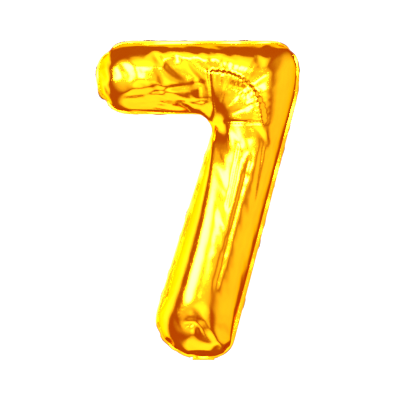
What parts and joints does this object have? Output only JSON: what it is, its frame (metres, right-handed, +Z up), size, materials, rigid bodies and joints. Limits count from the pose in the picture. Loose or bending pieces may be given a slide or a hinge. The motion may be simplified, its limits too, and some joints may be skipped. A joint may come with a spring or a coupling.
{
  "type": "foil number balloon",
  "caption": "Air-filled foil balloon in the shape of the digit 7, two film panels welded round a flat margin, with a folding inlet tail.",
  "frame": {"origin": "middle of the neck, where the inlet tail leaves the lower edge of the seam margin", "axes": "+Z up the digit, +X to the right of someone reading it, the digit faces -Y, and the seam lies in the plane Y = 0"},
  "size_m": [0.2241, 0.0774, 0.351],
  "materials": {
    "gold_film": "gloss",
    "melted_seal": "satin",
    "clear_film": "satin"
  },
  "bodies": {
    "envelope": {"front_panel": "gold_film", "rear_panel": "gold_film", "heat_seal_band": "melted_seal", "valve_front_film": "clear_film", "valve_rear_film": "clear_film"},
    "inlet_tail": {"tail_front_film": "gold_film", "tail_rear_film": "gold_film", "tail_side_seals": "melted_seal"}
  },
  "joints": [
    {"name": "tail_fold", "type": "hinge", "parent": "envelope", "child": "inlet_tail", "pos_m": [0, 0, -0.001], "axis": [-1, 0, 0], "range_deg": [0, 234]}
  ]
}
